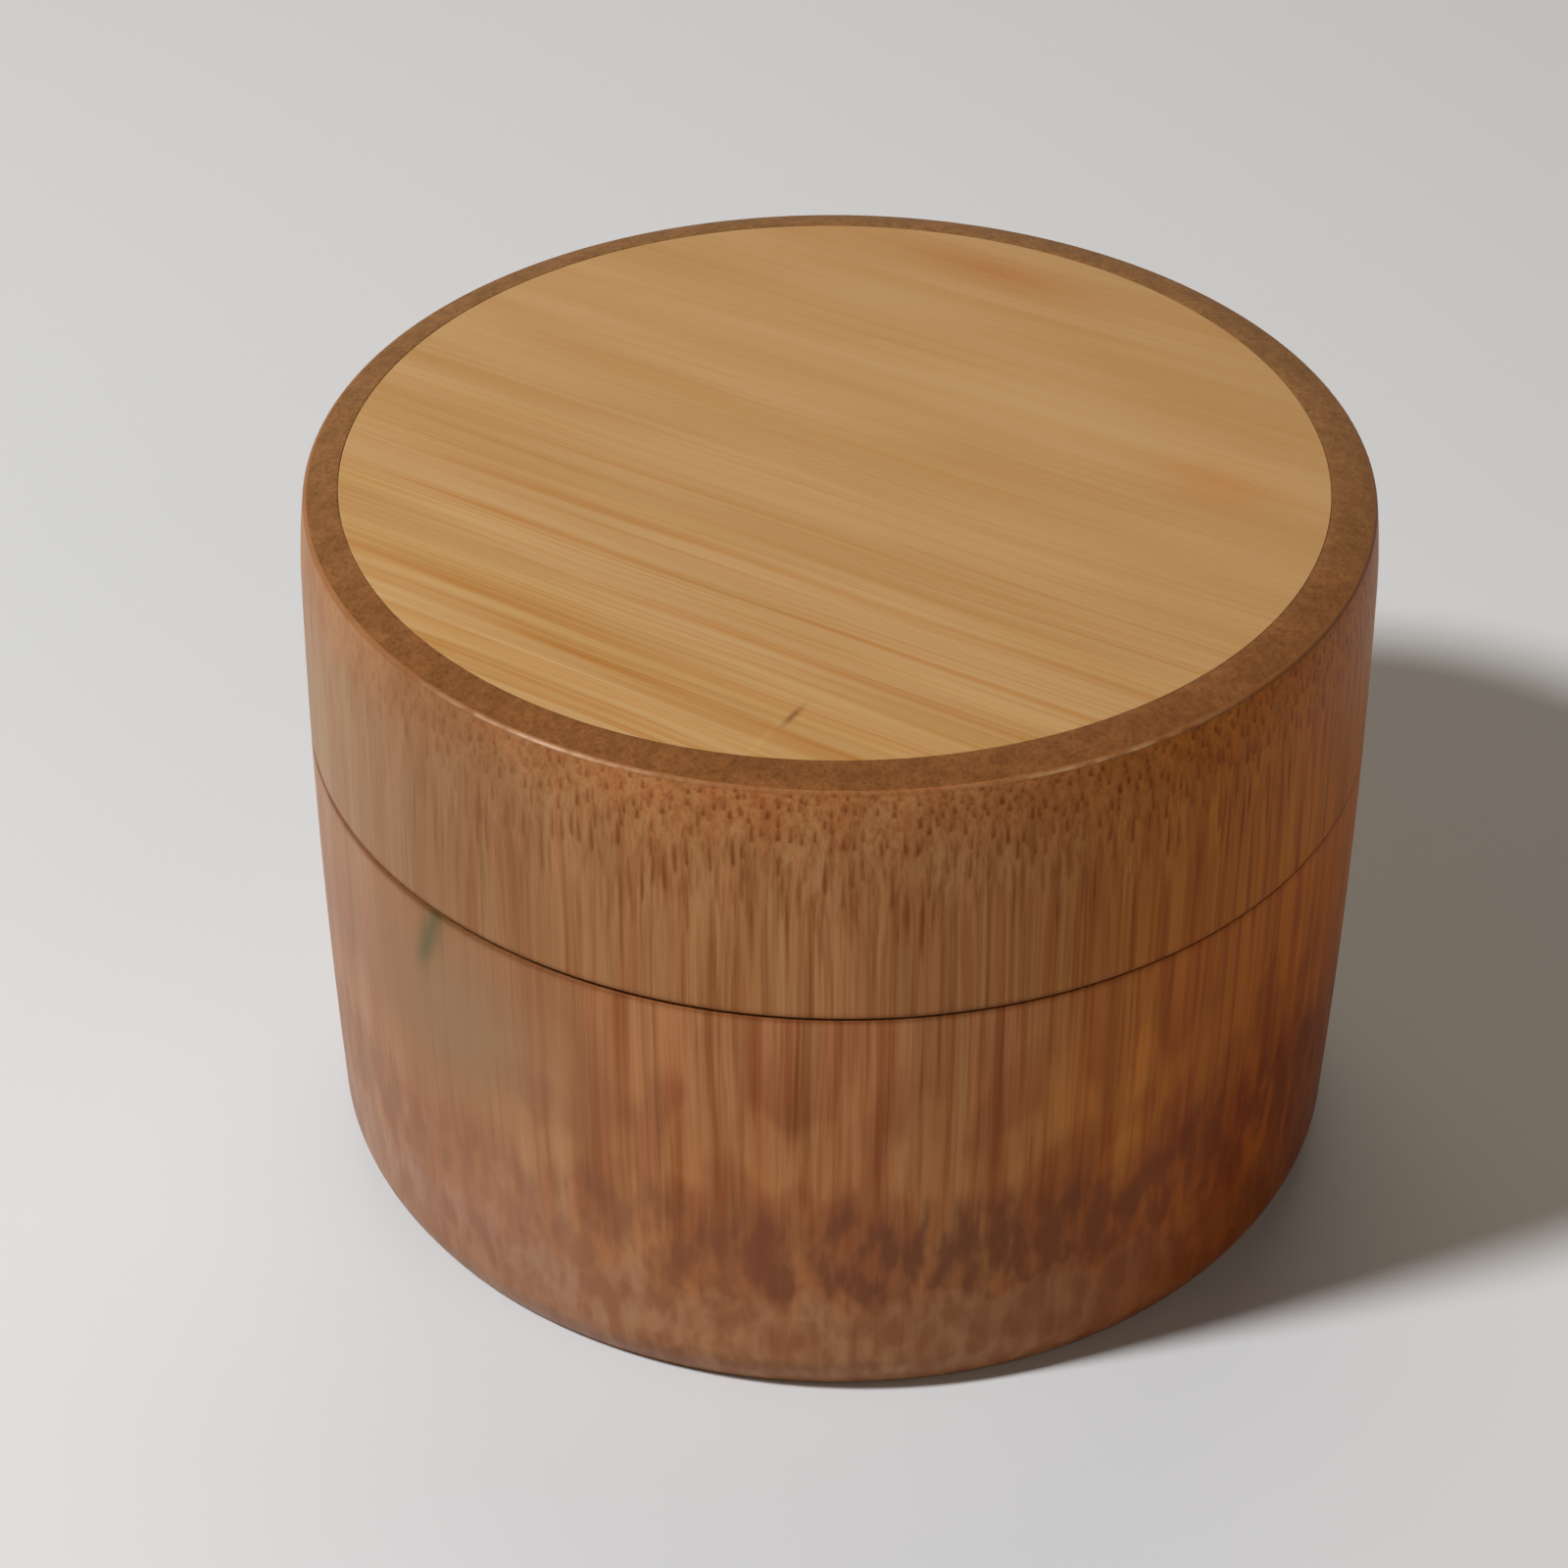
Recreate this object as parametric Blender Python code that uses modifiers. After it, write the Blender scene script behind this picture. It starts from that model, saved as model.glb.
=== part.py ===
"""Round tea canister turned from thick bamboo culm: a body whose floor is the culm's own node,
and a lift-off lid made of a culm ring with a bamboo board let into its top.

Metres, +Z up. The origin is the centre of the foot, and +Z is the axis that everything is turned on.
"""
import math

import bpy

# Outside
body_height = 0.0409            # foot to the seam
lid_height = 0.0227             # seam to the top of the board
belly_radius = 0.0450           # the widest circle, on the lid
belly_below_top = 0.0076        # from the lid's top down to that circle
side_taper = 0.0018             # how much less the radius is just above the foot's rounding
top_draw = 0.0004               # how much the side draws in from the belly to the rim's edge
foot_round_height = 0.0044
foot_round_width = 0.0019
foot_round_bow = 1.8            # 1 is a straight bevel, and more is rounder
foot_edge_ease = 0.0004

# Rim and board
rim_drop = 0.0008               # fall of the rim's bevel
rim_ease = 0.0005               # rounding of the rim's outer edge
rim_width = 0.0031              # ring left round the board's rebate at the rim, on average
board_offset = -0.00045         # the board's rebate was turned this far off centre, along X
board_thickness = 0.0050
board_ease = 0.0003

# Culm wall, socket and spigot
culm_wall = 0.0078              # wall at the seam
bore_narrowing = 0.0008         # how much narrower the jar is at its floor than at its mouth
spigot_wall = 0.0040
spigot_height = 0.0090
spigot_lead = 0.0008            # bevel that guides the lid on
spigot_lip_ease = 0.0005
socket_lead = 0.0006
seam_ease = 0.0003

# Natural node that closes the body, and the foot ring below it
floor_height = 0.0120           # top of the node at the jar's wall
node_thickness = 0.0040
floor_dish = 0.0005             # how far the node's faces dip and rise towards the middle
floor_fillet = 0.0055
foot_ring_width = 0.0048
foot_ring_ease = 0.0004
recess_fillet = 0.0035

# Clearances
seat_gap = 0.0003               # between the body's shoulder and the lid
spigot_clearance = 0.0003       # all round the spigot
spigot_end_clearance = 0.0006   # above the spigot, so that the lid seats on the shoulder
glue_gap = 0.0003               # round the board and under it

# Fineness of the turned surfaces
turn_steps = 72
side_points = 7
foot_points = 7
dish_points = 3
arc_step = math.radians(18)
corner_reach = 0.9              # share of the shorter line at a corner that its rounding may take
sharp_angle = math.radians(35)
merge_distance = 0.00001
cutter_margin = 0.002

# Sizes that follow from those above
total_height = body_height + lid_height
rim_height = total_height - rim_drop
belly_height = total_height - belly_below_top
shoulder_height = body_height - seat_gap / 2
lid_bottom = body_height + seat_gap / 2
spigot_top = shoulder_height + spigot_height


def side_radius(height):
    """Radius of the outside: one long curve through the body and the lid, widest at the belly."""
    if height > belly_height:
        return belly_radius - top_draw * ((height - belly_height) / (rim_height - belly_height)) ** 2
    return belly_radius - side_taper * ((belly_height - height) / (belly_height - foot_round_height)) ** 2


bore_radius = side_radius(body_height) - culm_wall
floor_radius = bore_radius - bore_narrowing
spigot_radius = bore_radius + spigot_wall
socket_radius = spigot_radius + spigot_clearance
socket_top = spigot_top + spigot_end_clearance
foot_radius = side_radius(foot_round_height) - foot_round_width
recess_radius = foot_radius - foot_ring_width
node_underside = floor_height - node_thickness
rebate_radius = side_radius(rim_height) - rim_width
board_radius = rebate_radius - glue_gap
ledge_height = total_height - board_thickness - glue_gap
bevel_start = rebate_radius + abs(board_offset)


def clear_scene():
    for old in list(bpy.data.objects):
        bpy.data.objects.remove(old, do_unlink=True)


def new_collection(name):
    collection = bpy.data.collections.new(name)
    bpy.context.scene.collection.children.link(collection)
    return collection


def bamboo(name, colour, roughness):
    material = bpy.data.materials.new(name)
    material.use_nodes = True
    shader = material.node_tree.nodes["Principled BSDF"]
    shader.inputs["Base Color"].default_value = (*colour, 1.0)
    shader.inputs["Roughness"].default_value = roughness
    shader.inputs["Metallic"].default_value = 0.0
    return material


def side_curve(high, low, steps):
    """Points down the outside from one height to another, both ends included."""
    points = []
    for step in range(steps + 1):
        height = high + (low - high) * step / steps
        points.append((side_radius(height), height, 0.0))
    return points


def foot_curve():
    """Points down the foot's rounding, which bends in more and more until the flat foot cuts it."""
    points = []
    for step in range(1, foot_points + 1):
        share = step / foot_points
        bend = foot_round_width * share ** foot_round_bow
        points.append((foot_radius + foot_round_width - bend, foot_round_height * (1 - share), 0.0))
    points[-1] = (*points[-1][:2], foot_edge_ease)
    return points


def dished(edge_radius, edge_height, rise, outward):
    """Points of a face that meets the axis, higher there by rise than at its edge."""
    points = []
    for step in range(dish_points + 1):
        share = step / dish_points
        points.append((edge_radius * share, edge_height + rise * (1 - share ** 2), 0.0))
    return points if outward else points[::-1]


def rounded(corners):
    """Replace each corner (radius, height, rounding) of a profile by an arc of that rounding."""
    profile = []
    for index, (x, z, rounding) in enumerate(corners):
        if rounding == 0.0:
            profile.append((x, z))
            continue
        before = corners[index - 1]
        after = corners[(index + 1) % len(corners)]
        back = (before[0] - x, before[1] - z)
        ahead = (after[0] - x, after[1] - z)
        back_length = math.hypot(*back)
        ahead_length = math.hypot(*ahead)
        back = (back[0] / back_length, back[1] / back_length)
        ahead = (ahead[0] / ahead_length, ahead[1] / ahead_length)
        half_opening = math.acos(back[0] * ahead[0] + back[1] * ahead[1]) / 2
        longest = corner_reach * min(back_length, ahead_length)
        reach = min(rounding / math.tan(half_opening), longest)
        radius = reach * math.tan(half_opening)
        middle = (back[0] + ahead[0], back[1] + ahead[1])
        scale = math.hypot(reach, radius) / math.hypot(*middle)
        centre = (x + middle[0] * scale, z + middle[1] * scale)
        start = math.atan2(z + back[1] * reach - centre[1], x + back[0] * reach - centre[0])
        end = math.atan2(z + ahead[1] * reach - centre[1], x + ahead[0] * reach - centre[0])
        sweep = (end - start + math.pi) % (2 * math.pi) - math.pi
        steps = max(2, math.ceil(abs(sweep) / arc_step))
        for step in range(steps + 1):
            angle = start + sweep * step / steps
            profile.append((centre[0] + radius * math.cos(angle), centre[1] + radius * math.sin(angle)))
    return profile


def turned(name, profile, closed, collection, material):
    """Turn a profile of (radius, height) points a full circle about the Z axis."""
    mesh = bpy.data.meshes.new(name)
    count = len(profile)
    edges = [(index, index + 1) for index in range(count - 1)]
    if closed:
        edges.append((count - 1, 0))
    mesh.from_pydata([(x, 0.0, z) for x, z in profile], edges, [])
    piece = bpy.data.objects.new(name, mesh)
    collection.objects.link(piece)
    screw = piece.modifiers.new("Turn", "SCREW")
    screw.axis = "Z"
    screw.angle = 2 * math.pi
    screw.steps = turn_steps
    screw.render_steps = turn_steps
    screw.use_merge_vertices = True
    screw.merge_threshold = merge_distance
    screw.use_smooth_shade = True
    mesh.materials.append(material)
    return piece


def shade_by_angle(piece):
    """Fix the modifiers' result in the mesh and shade it smooth, with its turned corners kept sharp."""
    graph = bpy.context.evaluated_depsgraph_get()
    mesh = bpy.data.meshes.new_from_object(piece.evaluated_get(graph))
    piece.modifiers.clear()
    piece.data = mesh
    mesh.name = piece.name
    mesh.shade_smooth()
    mesh.set_sharp_from_angle(angle=sharp_angle)


def make_body(collection, material):
    """Culm section with the jar bored out above the node and the foot ring left below it."""
    corners = dished(floor_radius, floor_height, -floor_dish, True)
    corners[-1] = (floor_radius, floor_height, floor_fillet)
    corners += [
        (bore_radius, spigot_top, spigot_lip_ease),
        (spigot_radius - spigot_lead, spigot_top, 0.0),
        (spigot_radius, spigot_top - spigot_lead, 0.0),
        (spigot_radius, shoulder_height, 0.0),
    ]
    outside = side_curve(shoulder_height, foot_round_height, side_points)
    outside[0] = (*outside[0][:2], seam_ease)
    corners += outside + foot_curve()
    corners += [(recess_radius, 0.0, foot_ring_ease)]
    underside = dished(recess_radius, node_underside, floor_dish, False)
    underside[0] = (recess_radius, node_underside, recess_fillet)
    corners += underside
    return turned("body", rounded(corners), False, collection, material)


def make_lid_ring(collection, cutters, material):
    """Culm ring: socket for the spigot below, ledge and off-centre rebate for the board above."""
    outside = side_curve(rim_height, lid_bottom, side_points)
    outside[0] = (*outside[0][:2], rim_ease)
    outside[-1] = (*outside[-1][:2], seam_ease)
    corners = [(bore_radius, total_height, 0.0), (bevel_start, total_height, 0.0)]
    corners += outside
    corners += [
        (socket_radius + socket_lead, lid_bottom, 0.0),
        (socket_radius, lid_bottom + socket_lead, 0.0),
        (socket_radius, socket_top, 0.0),
        (bore_radius, socket_top, 0.0),
    ]
    ring = turned("lid_ring", rounded(corners), True, collection, material)

    rebate_depth = total_height + cutter_margin - ledge_height
    bpy.ops.mesh.primitive_cylinder_add(
        vertices=turn_steps,
        radius=rebate_radius,
        depth=rebate_depth,
        location=(board_offset, 0.0, ledge_height + rebate_depth / 2),
    )
    rebate = bpy.context.object
    rebate.name = "board_rebate_cutter"
    for home in list(rebate.users_collection):
        home.objects.unlink(rebate)
    cutters.objects.link(rebate)
    rebate.hide_render = True
    rebate.display_type = "WIRE"

    cut = ring.modifiers.new("Board rebate", "BOOLEAN")
    cut.operation = "DIFFERENCE"
    cut.solver = "EXACT"
    cut.object = rebate
    return ring


def make_lid_panel(collection, material):
    """Round board that lies on the ledge and ends flush with the rim."""
    underside = ledge_height + glue_gap
    corners = [
        (0.0, total_height, 0.0),
        (board_radius, total_height, board_ease),
        (board_radius, underside, board_ease),
        (0.0, underside, 0.0),
    ]
    panel = turned("lid_panel", rounded(corners), False, collection, material)
    panel.location = (board_offset, 0.0, 0.0)
    return panel


def main():
    clear_scene()
    parts = new_collection("tea_canister")
    cutters = new_collection("cutters")

    culm = bamboo("turned culm, browned", (0.28, 0.12, 0.048), 0.45)
    rim = bamboo("end grain, browned", (0.22, 0.10, 0.045), 0.60)
    board = bamboo("bamboo board, honey", (0.52, 0.30, 0.11), 0.50)

    body = make_body(parts, culm)
    lid_ring = make_lid_ring(parts, cutters, rim)
    lid_panel = make_lid_panel(parts, board)
    bpy.context.view_layer.update()
    for piece in (body, lid_ring, lid_panel):
        shade_by_angle(piece)

    lid = bpy.data.objects.new("lid", None)
    lid.location = (0.0, 0.0, body_height)
    parts.objects.link(lid)
    bpy.context.view_layer.update()
    for piece in (lid_ring, lid_panel):
        piece.parent = lid
        piece.matrix_parent_inverse = lid.matrix_world.inverted()


main()
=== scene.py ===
"""Looks of the round bamboo tea canister: turned culm with a lift-off lid and an inlaid board.

Everything is in metres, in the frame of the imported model. The finishes work in millimetres.
"""
import math

import bpy
from mathutils import Matrix, Vector, noise


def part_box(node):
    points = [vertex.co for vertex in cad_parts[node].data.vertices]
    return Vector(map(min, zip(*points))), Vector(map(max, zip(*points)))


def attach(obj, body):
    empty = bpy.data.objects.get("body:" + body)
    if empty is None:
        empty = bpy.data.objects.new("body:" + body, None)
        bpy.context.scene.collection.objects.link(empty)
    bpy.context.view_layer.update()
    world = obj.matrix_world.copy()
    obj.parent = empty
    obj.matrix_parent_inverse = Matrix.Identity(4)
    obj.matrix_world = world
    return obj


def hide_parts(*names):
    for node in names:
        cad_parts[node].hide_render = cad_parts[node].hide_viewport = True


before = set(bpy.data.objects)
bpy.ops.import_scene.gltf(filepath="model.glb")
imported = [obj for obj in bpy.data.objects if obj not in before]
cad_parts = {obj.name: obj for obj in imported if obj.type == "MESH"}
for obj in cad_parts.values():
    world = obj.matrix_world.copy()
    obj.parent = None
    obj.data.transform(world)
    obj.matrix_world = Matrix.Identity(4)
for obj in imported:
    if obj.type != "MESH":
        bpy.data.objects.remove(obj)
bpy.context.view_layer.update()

# Sizes read from the frame
body_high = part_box("body")[1]
ring_low, ring_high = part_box("lid_ring")
board_low, board_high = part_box("lid_panel")
total_height = board_high.z
belly_radius = ring_high.x
spigot_top = body_high.z
lid_bottom = ring_low.z
board_radius = (board_high.x - board_low.x) / 2
board_offset = (board_high.x + board_low.x) / 2
board_underside = board_low.z

# Sizes that the boxes don't give, as the solids have them
seat_gap = 0.0003               # between the body's shoulder and the lid
belly_below_top = 0.0076        # from the lid's top down to the widest circle
side_taper = 0.0018             # how much less the radius is just above the foot's rounding
top_draw = 0.0004               # how much the side draws in from the belly to the rim's edge
foot_round_height = 0.0044
foot_round_width = 0.0019
foot_round_bow = 1.8            # 1 is a straight bevel, and more is rounder
foot_edge_ease = 0.0004
rim_drop = 0.0008               # fall of the rim's bevel
rim_ease = 0.0005
culm_wall = 0.0078              # wall at the seam
bore_narrowing = 0.0008         # how much narrower the jar is at its floor than at its mouth
spigot_wall = 0.0040
spigot_lead = 0.0008            # bevel that guides the lid on
spigot_lip_ease = 0.0005
spigot_clearance = 0.0003
spigot_end_clearance = 0.0006
socket_lead = 0.0006
floor_height = 0.0120           # top of the node at the jar's wall
node_thickness = 0.0040
floor_dish = 0.0005             # how far the node's faces dip and rise towards the middle
floor_fillet = 0.0055
foot_ring_width = 0.0048
foot_ring_ease = 0.0004
recess_fillet = 0.0035
glue_gap = 0.0003               # round the board and under it

# What shows only close up
board_gap = 0.00003             # hairline between the board and its rebate
board_bed = 0.00002             # the same under the board
board_ease = 0.00007
rebate_ease = 0.00005           # rounding of the rebate's upper edge
rim_fall = 0.00002              # how far the rim's flat falls to where its bevel starts
lead_ease = 0.0002              # rounding of both edges of the spigot's lead
seam_ease_open = 0.00022        # rounding of the seam's edges where they are most worn
seam_ease_tight = 0.00008
seam_open_azimuth = math.radians(-52)
seam_tight_gap = 0.00004        # the seam's gap where the lid sits closest
node_ripple = 0.00012           # unevenness of the natural node
ripple_scale = 110.0            # its lumps to a metre
ripple_fade = 4                 # how late it dies out towards the wall
ripple_octaves = 3

# Fineness of the turned surfaces
turn_steps = 360
side_points = 24
foot_points = 20
dish_points = 24
arc_points = 6
corner_reach = 0.9              # share of the shorter line at a corner that its rounding may take
sharp_angle = math.radians(40)

# Sizes that follow from those above
rim_height = total_height - rim_drop
belly_height = total_height - belly_below_top
shoulder_height = lid_bottom - seat_gap

# Gloss of the oiled wood, which is faint and has the wood's own warm tone
wood_gloss = 0.08
wood_gloss_tint = (1.0, 0.62, 0.32)

# Relief of the finishes in metres, from their lowest points to their highest
side_relief = 0.00002
end_relief = 0.00004
bore_relief = 0.00004
node_relief = 0.00015
board_relief = 0.00002

# Grain of the culm, in millimetres
bundle_spacing = 0.88           # between fibre bundles
bundle_scatter = 0.95           # 0 is a regular grid, 1 the least regular
bundle_width = 0.19
bundle_jump = 0.7               # how far the body's bundles shift against the lid's
cap_start = (-0.50, 0.12)       # where a bundle's dark cap comes in, outwards from its middle
cap_end = (0.14, 0.24)
wander_scale = (1 / 9, 1 / 9, 1 / 30)   # sways of the bundles to a millimetre
cut_depth = 3.7                 # how far into the wall the side has been cut at the rim
cut_fade = 5.2                  # over what height that cut runs out
cut_lean = 0.014                # slope at which the rest of the side runs across the bundles
node_top = 20.0                 # the natural node's dark zone, and the paler wood under it
node_low = 10.3
tongue_height = 18.0            # how tall the dark tongues above the node are
tongue_swell = 6.0              # how far their tips rise and fall round the canister
tongue_lift = 3.0               # how much higher they reach on the red side
node_swing = 9.0                # how far the line between the dark and the paler wood wanders
node_swell = 5.0

# Where round the canister a shade lies, in radians. 0 is the front, and the right is positive.
# The red side is partly the culm's own colour and partly painted shade of the side turned from the
# lamp
red_shade_azimuth = math.radians(70)          # where the culm is reddest, and palest, both partly painted light
red_shade_end = 0.52                          # cosine of the angle from there at which that ends
# The pale side is partly the culm's own colour and partly a painted reflection of the lit floor
pale_sheen_azimuth = math.radians(-85)
pale_sheen_end = 0.72
front_azimuth = math.radians(-8)        # middle of the lighter front
stripe_azimuth = math.radians(-42)      # a darker stripe at the left, fading out down the body
stripe_width = math.radians(17)
bleached_azimuth = math.radians(-36)    # a lighter, greyer foot at the left
bleached_width = math.radians(14)
shade_foot_azimuth = math.radians(90)         # painted shade on the foot at the far right
spared_azimuth = math.radians(22)       # the band of painted shade round the body leaves this stretch out
spared_width = math.radians(14)
haze_azimuth = math.radians(-44)        # a grey haze at the left under the seam
haze_width = math.radians(14)
graze_azimuth = math.radians(-46)       # a dark greenish graze through it
graze_slope = 0.0084                    # radians per millimetre down
graze_width = 0.024
grime_and_shade_width = 0.5                       # of the stretch where grime and painted shade lie under the open seam
rub_and_highlight_left = math.radians(-31)         # where the arris of the rim is rubbed pale and carries a painted highlight
rub_and_highlight_right = math.radians(29)
rub_and_highlight_reach = math.radians(11)

# Heights on the side, in millimetres
top = total_height * 1000
seam = lid_bottom * 1000
rim = rim_height * 1000
seam_blur = 0.1                 # shades change over this much to both sides of the seam
shade_band_height = 29.0               # a band of painted shade round the body
shade_band_reach = 6.5
haze_height = 30.5
haze_reach = 9.5
# Grime and painted shade along the seam
grime_and_shade_height = seam - 0.1
grime_and_shade_reach = 0.40
low_grime_and_shade_height = seam - 0.3   # more grime and painted shade where the seam is open
low_grime_and_shade_reach = 0.50
# Thin pale line of wear and painted highlight along the arris
arris_highlight_height = rim - 0.08
arris_highlight_reach = 0.10

# Heights between which something changes, in millimetres
red_foot_zone = (12.0, 34.0)    # the darker foot on the red side ends
stripe_zone = (24.0, 46.0)      # the stripe at the left comes in
straight_zone = (13.0, 22.0)    # the fibres turn straight
crisp_zone = (24.0, seam)       # and crisper
oval_zone = (30.0, seam)        # the oval shades end
bleached_zone = (14.0, seam)    # the lighter foot at the left ends
shade_foot_zone = (10.0, 42.0)        # the painted shade on the foot at the far right ends
graze_zone = (32.0, 37.0)       # the graze comes in
below_zone = (seam - 0.3, seam + seam_blur)     # what lies under the seam ends
edge_zone = (rim - 0.40, rim - 0.15)            # the rim's darker edge comes in

# Depths under the lid's top between which something changes, in millimetres
top_zone = (0.0, 9.0)           # the browner wood ends
pale_top_zone = (0.0, 12.0)     # the browner wood of the pale side ends
streak_zone = (5.0, 17.0)       # dashes turn into streaks

# Soft lighter and darker patches: azimuth, width in degrees, height, reach up and down, shade
soft_patches = (
    (31, 9, 27.0, 13.0, (1.13, 1.20, 1.12)),
    (50, 9, 32.0, 10.0, (0.87, 0.85, 0.75)),
    (-40, 16, 13.0, 8.0, (0.97, 1.01, 1.18)),
)

plain = (1.0, 1.0, 1.0)         # a shade that leaves a colour as it is

# Grain of the board
grain_turn = math.radians(30)   # it runs from left to right, turned this much to the front
grain_fan = 0.0011              # how much more it turns per millimetre towards the front
grain_sway = 1.2                # how far a fibre line wanders

# Fibre lines in the board: millimetres across the grain from the middle, half width, strength
dark_lines = (
    (14.7, 0.35, 0.8), (19.7, 0.30, 0.9), (24.4, 0.35, 1.0), (30.4, 0.30, 0.9), (33.5, 0.40, 0.9),
    (39.0, 0.50, 0.9), (2.4, 0.50, 0.5), (8.0, 0.40, 0.5), (-9.0, 0.50, 0.5), (-23.0, 0.60, 0.5),
    (-36.0, 0.60, 0.6),
)
pale_lines = (
    (5.0, 1.2, 0.5), (13.0, 0.8, 0.6), (21.8, 1.0, 0.8), (28.0, 0.9, 0.8), (31.5, 0.5, 0.8),
    (37.0, 1.2, 0.8), (-5.0, 1.5, 0.5), (-19.0, 2.0, 0.5), (-30.0, 2.0, 0.4),
)
crisp_zone_across = (-15.0, 25.0)       # the lines get crisper towards the front
close_zone_across = (20.0, 36.0)        # and lie closer together

# Single marks on the board: place and reach along the grain, then across it, strength and shade
board_marks = (
    (-5.0, 10.0, -36.0, 2.2, 1.0, (0.92, 0.72, 0.60)),     # blush at the back
    (28.0, 6.0, -15.0, 3.5, 0.9, (1.0, 0.84, 0.68)),       # blush at the right
    (15.0, 0.28, 32.0, 1.4, 1.0, (0.50, 0.40, 0.31)),      # nick at the front
    (14.6, 0.30, 36.0, 2.2, 0.7, (1.12, 1.16, 1.14)),      # scratch beside it
)

# Camera, as fitted to the canister's outline, seam and rim, with its lens in millimetres
camera_distance = 0.5059
camera_elevation = math.radians(35.262)
camera_aim_height = 0.03375
camera_yaw = math.radians(0.510)
camera_pitch = math.radians(-0.163)
camera_roll = math.radians(-0.678)
camera_lens = 135.0
camera_clip_start = 0.01

# Light: a small lamp at the front left and two big dim ones, behind and at the front right.
# Azimuth and elevation in degrees, distance and size in metres, level, and how warm it is.
lamps = {
    "lamp": (-62.9, 52.6, 0.977, 0.12, 1.06, 0.0),
    "back_lamp": (180.0, 50.0, 1.2, 0.9, 0.21, 1.0),
    "right_lamp": (40.0, 25.0, 1.2, 0.9, 0.14, 1.0),
}
warm_light = (1.0, 0.85, 0.66)
room_level = 0.05
floor_tone = (0.595, 0.61, 0.63)
floor_gloss = 0.5
floor_reach = 3.0
floor_near = 260.0              # millimetres out to where the floor starts to turn into backdrop
floor_far = 650.0


def side_radius(height):
    """Radius of the outside: one long curve through the body and the lid, widest at the belly."""
    if height > belly_height:
        share = (height - belly_height) / (rim_height - belly_height)
        return belly_radius - top_draw * share ** 2
    share = (belly_height - height) / (belly_height - foot_round_height)
    return belly_radius - side_taper * share ** 2


bore_radius = side_radius((shoulder_height + lid_bottom) / 2) - culm_wall
floor_radius = bore_radius - bore_narrowing
spigot_radius = bore_radius + spigot_wall
socket_radius = spigot_radius + spigot_clearance
socket_top = spigot_top + spigot_end_clearance
foot_radius = side_radius(foot_round_height) - foot_round_width
recess_radius = foot_radius - foot_ring_width
node_underside = floor_height - node_thickness
rebate_radius = board_radius + glue_gap
ledge_height = board_underside - glue_gap


def tone(red, green, blue):
    """Linear colour of a shade given as it looks on a screen, 0 to 255."""
    shares = [level / 255 for level in (red, green, blue)]
    return tuple(s / 12.92 if s <= 0.04045 else ((s + 0.055) / 1.055) ** 2.4 for s in shares)


backdrop_tone = tone(206, 206, 206)


class Field:
    """A number, vector or colour that varies over a surface: one output of a node in a finish."""

    def __init__(self, finish, socket):
        self.finish = finish
        self.socket = socket

    def combine(self, operation, first, second):
        values = (first, second)
        wide = [v for v in values if isinstance(v, Field) and v.socket.type in ("VECTOR", "RGBA")]
        kind = "ShaderNodeVectorMath" if wide else "ShaderNodeMath"
        return self.finish.node(kind, {"operation": operation}, dict(enumerate(values)))

    def __add__(self, other):
        return self.combine("ADD", self, other)

    def __radd__(self, other):
        return self.combine("ADD", other, self)

    def __sub__(self, other):
        return self.combine("SUBTRACT", self, other)

    def __rsub__(self, other):
        return self.combine("SUBTRACT", other, self)

    def __mul__(self, other):
        return self.combine("MULTIPLY", self, other)

    def __rmul__(self, other):
        return self.combine("MULTIPLY", other, self)

    def __truediv__(self, other):
        return self.combine("DIVIDE", self, other)

    def __rtruediv__(self, other):
        return self.combine("DIVIDE", other, self)

    def __pow__(self, other):
        return self.combine("POWER", self, other)

    def __neg__(self):
        return self.combine("MULTIPLY", self, -1.0)


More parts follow.
